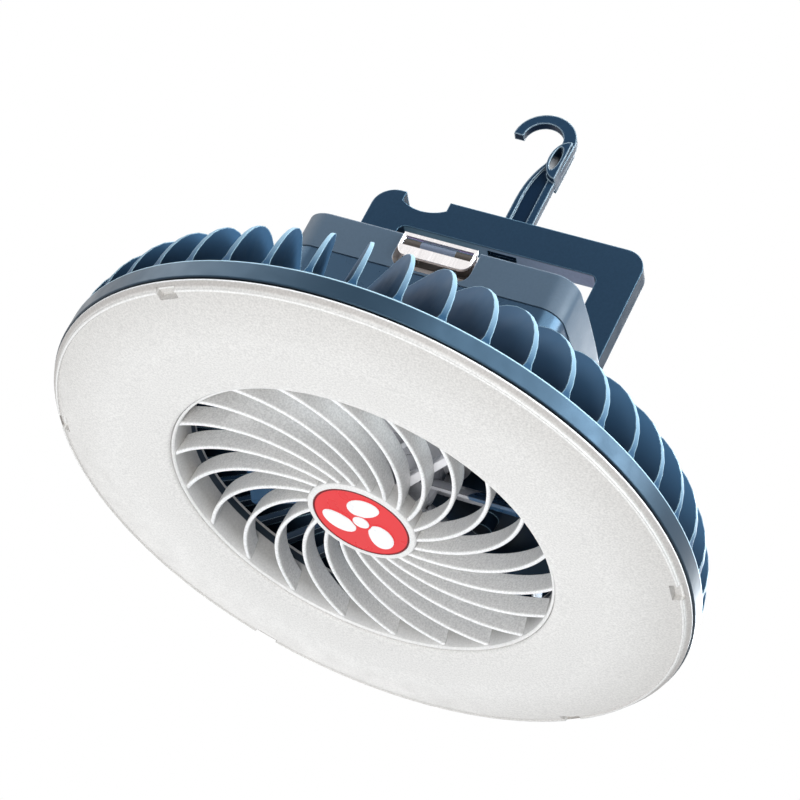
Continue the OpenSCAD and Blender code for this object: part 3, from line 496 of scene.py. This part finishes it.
def prism(bm, outline, z0, z1, place=Matrix()):
    """Closed prism over a flat outline of (x, y) points, from z0 to z1."""
    low = [bm.verts.new((x, y, z0)) for x, y in outline]
    top = [bm.verts.new((x, y, z1)) for x, y in outline]
    bm.faces.new(low[::-1])
    bm.faces.new(top)
    for i in range(len(outline)):
        j = (i + 1) % len(outline)
        bm.faces.new((low[i], low[j], top[j], top[i]))
    bmesh.ops.transform(bm, matrix=place, verts=low + top)


def ring(bm, r0, r1, z0, z1, seg=96, place=Matrix()):
    """Closed ring between two radii, from z0 to z1."""
    corners = ((r0, z0), (r1, z0), (r1, z1), (r0, z1))
    rows = []
    for i in range(seg):
        a = 2 * math.pi * i / seg
        rows.append([bm.verts.new((r * math.cos(a), r * math.sin(a), z)) for r, z in corners])
    for i in range(seg):
        here, there = rows[i], rows[(i + 1) % seg]
        for k in range(4):
            after = (k + 1) % 4
            bm.faces.new((here[k], here[after], there[after], there[k]))
    bmesh.ops.transform(bm, matrix=place, verts=[v for row in rows for v in row])


def dot(bm, r, z0, z1, place=Matrix()):
    """Round dot: a ring about a pinhole."""
    pinhole = 0.01
    ring(bm, pinhole, r, z0, z1, 32, place)


def petal(size, turn, lean=26, n=22):
    """One rounded fan blade for a sign, leaning with the turn; size is its reach."""
    disc, far = 0.38 * size, 0.62 * size
    foot, neck = 0.26 * size, 0.13 * size
    points = [(foot, neck)]
    for i in range(n + 1):
        a = math.radians(150 - 300 * i / n)
        points.append((far + disc * math.cos(a), disc * math.sin(a)))
    points.append((foot, -neck))
    out = []
    for x, y in points:
        r = math.hypot(x, y)
        a = math.atan2(y, x) + math.radians(turn + lean * (r / size) ** 2)
        out.append((r * math.cos(a), r * math.sin(a)))
    return out[::-1]


def fan_sign(bm, size, z0, z1, place=Matrix()):
    """Three blades round a dot, the usual sign for a fan."""
    for k in range(3):
        prism(bm, petal(size, 120 * k + 28), z0, z1, place)
    dot(bm, 0.21 * size, z0, z1, place)


def lamp_sign(bm, size, z0, z1, place=Matrix()):
    """A dot inside eight rays, the usual sign for a lamp."""
    half, inner = 0.22, 1.7
    dot(bm, 1.2, z0, z1, place)
    for k in range(8):
        turned = place @ Matrix.Rotation(math.radians(45 * k), 4, "Z")
        prism(bm, [(inner, -half), (size, -half), (size, half), (inner, half)], z0, z1, turned)


# ---------------------------------------------------------------- the pieces, in millimetres

# Badge: a fan sign raised on the red disc, and a fine line round it
BADGE_FACE = 1.6  # height of the disc's front
SIGN_REACH, SIGN_RAISE = 12.3, 0.18
LINE_INNER, LINE_OUTER, LINE_RAISE = 14.5, 14.98, 0.04
bm = bmesh.new()
fan_sign(bm, SIGN_REACH, BADGE_FACE - SIGN_RAISE, BADGE_FACE + 0.02)
piece("badge_pictogram", bm, SIGN_WHITE)
bm = bmesh.new()
ring(bm, LINE_INNER, LINE_OUTER, BADGE_FACE - LINE_RAISE, BADGE_FACE + 0.06, 128)
piece("badge_outline", bm, MAT["badge_line"])

# Three tapered stays behind the vanes, between hub and throat ring
HUB_END, HUB_HALF = 15.8, 1.6  # radius and half width at either end
RING_END, RING_HALF = 57.9, 1.0
STAY_FRONT, STAY_BACK = 8.65, 11.4
bm = bmesh.new()
for turn in (-50, 85, 220):
    stay = [(HUB_END, -HUB_HALF), (RING_END, -RING_HALF), (RING_END, RING_HALF), (HUB_END, HUB_HALF)]
    prism(bm, stay, STAY_FRONT, STAY_BACK, Matrix.Rotation(math.radians(turn), 4, "Z"))
piece("hub_stays", bm, "bracket_white", bevel=0.3)


def shift_to(low, high):
    """The shift to the middle of a box, seen from above."""
    return Matrix.Translation(((low[0] + high[0]) / 2 / MM, (low[1] + high[1]) / 2 / MM, 0))


# Signs let into the two buttons: fan and lamp
SIGN_DEPTH, SIGN_SINK = 0.4, 0.06
low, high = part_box("fan_button")
top = high[2] / MM
bm = bmesh.new()
fan_sign(bm, 2.9, top - SIGN_DEPTH, top - SIGN_SINK, shift_to(low, high))
piece("fan_button_sign", bm, SIGN_WHITE, body="fan_key")
low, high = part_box("light_button")
top = high[2] / MM
bm = bmesh.new()
lamp_sign(bm, 2.8, top - SIGN_DEPTH, top - SIGN_SINK, shift_to(low, high))
piece("light_button_sign", bm, SIGN_WHITE, body="light_key")

# Four grip ribs on the free end of the port's flap
RIB_PITCH, RIB_HEIGHT = 0.75, 3.2
low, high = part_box("port_flap")
face, middle = high[1] / MM, (low[2] + high[2]) / 2 / MM
foot, crest = face - 0.2, face + 0.22
bm = bmesh.new()
for k in range(4):
    x = high[0] / MM - 3.2 + RIB_PITCH * k
    rib = [(x, foot), (x + 0.35, foot), (x + 0.28, crest), (x + 0.07, crest)]
    prism(bm, rib, middle - RIB_HEIGHT / 2, middle + RIB_HEIGHT / 2)
piece("flap_grip", bm, "flap_rubber", body="flap")


# ---------------------------------------------------------------- floor and background

def seen_directly(t):
    """1 for camera, glossy and transmission rays, which see the pale background."""
    path = t.nodes.new("ShaderNodeLightPath")
    rays = maths(t, "MAXIMUM", path.outputs["Is Camera Ray"], path.outputs["Is Transmission Ray"])
    return maths(t, "MAXIMUM", rays, path.outputs["Is Glossy Ray"])


def background(t, colour, strength):
    n = t.nodes.new("ShaderNodeBackground")
    n.inputs["Color"].default_value = (*colour, 1)
    n.inputs["Strength"].default_value = strength
    return n.outputs[0]


FLOOR_Z, FLOOR_RADIUS, FLOOR_GLOW = -1.75, 12, 0.4
bm = bmesh.new()
bmesh.ops.create_circle(bm, cap_ends=True, radius=FLOOR_RADIUS, segments=64)
me = bpy.data.meshes.new("floor")
bm.to_mesh(me)
bm.free()
floor = bpy.data.objects.new("floor", me)
floor.location = (0, 0, FLOOR_Z)
bpy.context.scene.collection.objects.link(floor)
m, t, bsdf = nodes_of("floor_pale")
bsdf.inputs["Base Color"].default_value = (0.86, 0.86, 0.86, 1)
bsdf.inputs["Roughness"].default_value = 0.8
bsdf.inputs["Emission Color"].default_value = WHITE
t.links.new(times(t, seen_directly(t), FLOOR_GLOW), bsdf.inputs["Emission Strength"])
me.materials.append(m)

world = bpy.data.worlds.new("studio")
bpy.context.scene.world = world
world.use_nodes = True
t = world.node_tree
t.nodes.clear()
out = t.nodes.new("ShaderNodeOutputWorld")
pick = t.nodes.new("ShaderNodeMixShader")
t.links.new(seen_directly(t), pick.inputs[0])
t.links.new(background(t, (0.93, 0.96, 1.0), 0.48), pick.inputs[1])
t.links.new(background(t, (1, 1, 1), 1.0), pick.inputs[2])
t.links.new(pick.outputs[0], out.inputs["Surface"])


# ---------------------------------------------------------------- lamps and camera

MIDDLE = Vector((0, 0, 0.05))  # where every lamp looks


def lamp(name, place, size, power, colour=(1, 1, 1)):
    """Rectangular lamp: its place and size in metres, its power in watts."""
    d = bpy.data.lights.new(name, "AREA")
    d.shape = "RECTANGLE"
    d.size, d.size_y = size
    d.energy = power
    d.color = colour
    ob = bpy.data.objects.new(name, d)
    ob.location = place
    ob.rotation_mode = "QUATERNION"
    ob.rotation_quaternion = (MIDDLE - Vector(place)).to_track_quat("-Z", "Y")
    bpy.context.scene.collection.objects.link(ob)


lamp("below", (0.1, -0.75, -1.1), (0.8, 0.8), 11.8, (1.0, 0.99, 0.98))
lamp("left", (-1.15, -0.6, 0.75), (1.5, 0.5), 6, (0.9, 0.96, 1.0))
lamp("front", (0.75, -0.95, 0.75), (1.2, 0.6), 13, (0.9, 0.96, 1.0))
lamp("right", (1.19, -0.17, 0.75), (0.8, 0.5), 17, (0.84, 0.94, 1.0))
lamp("far", (-0.6, 1.15, -0.15), (0.8, 0.4), 2.8)
lamp("back", (0.2, 1.1, 0.85), (0.6, 0.5), 9, (0.93, 0.97, 1.0))

# The photograph's camera: the directions of its axes, the place of the object in them in
# millimetres, and its focal length and picture width in pixels
RIGHT = Vector((0.907891109427137, 0.12298855852490899, 0.40075871530776186))
DOWN = Vector((0.25657789297150324, 0.5929855959573175, -0.7632403735557031))
AHEAD = Vector((-0.3315139789834911, 0.7957649762707018, 0.5068102053820773))
OFFSET = Vector((-9.152471905131629, 31.17187899536139, 1073.6548950277663))
FOCAL = 3752.5933807753704
PICTURE = 800
LIFT = 6.5  # height of the point that OFFSET is for, the seam between light ring and rim
cam_data = bpy.data.cameras.new("camera")
cam = bpy.data.objects.new("camera", cam_data)
bpy.context.scene.collection.objects.link(cam)
spot = -(RIGHT * OFFSET.x + DOWN * OFFSET.y + AHEAD * OFFSET.z) + Vector((0, 0, LIFT))
rot = Matrix((RIGHT, -DOWN, -AHEAD)).transposed().to_4x4()
cam.matrix_world = Matrix.Translation(spot * MM) @ rot
cam_data.sensor_width = 36
cam_data.lens = FOCAL * cam_data.sensor_width / PICTURE
cam_data.clip_start, cam_data.clip_end = 0.05, 50
bpy.context.scene.camera = cam
bpy.context.scene.view_settings.view_transform = "Standard"
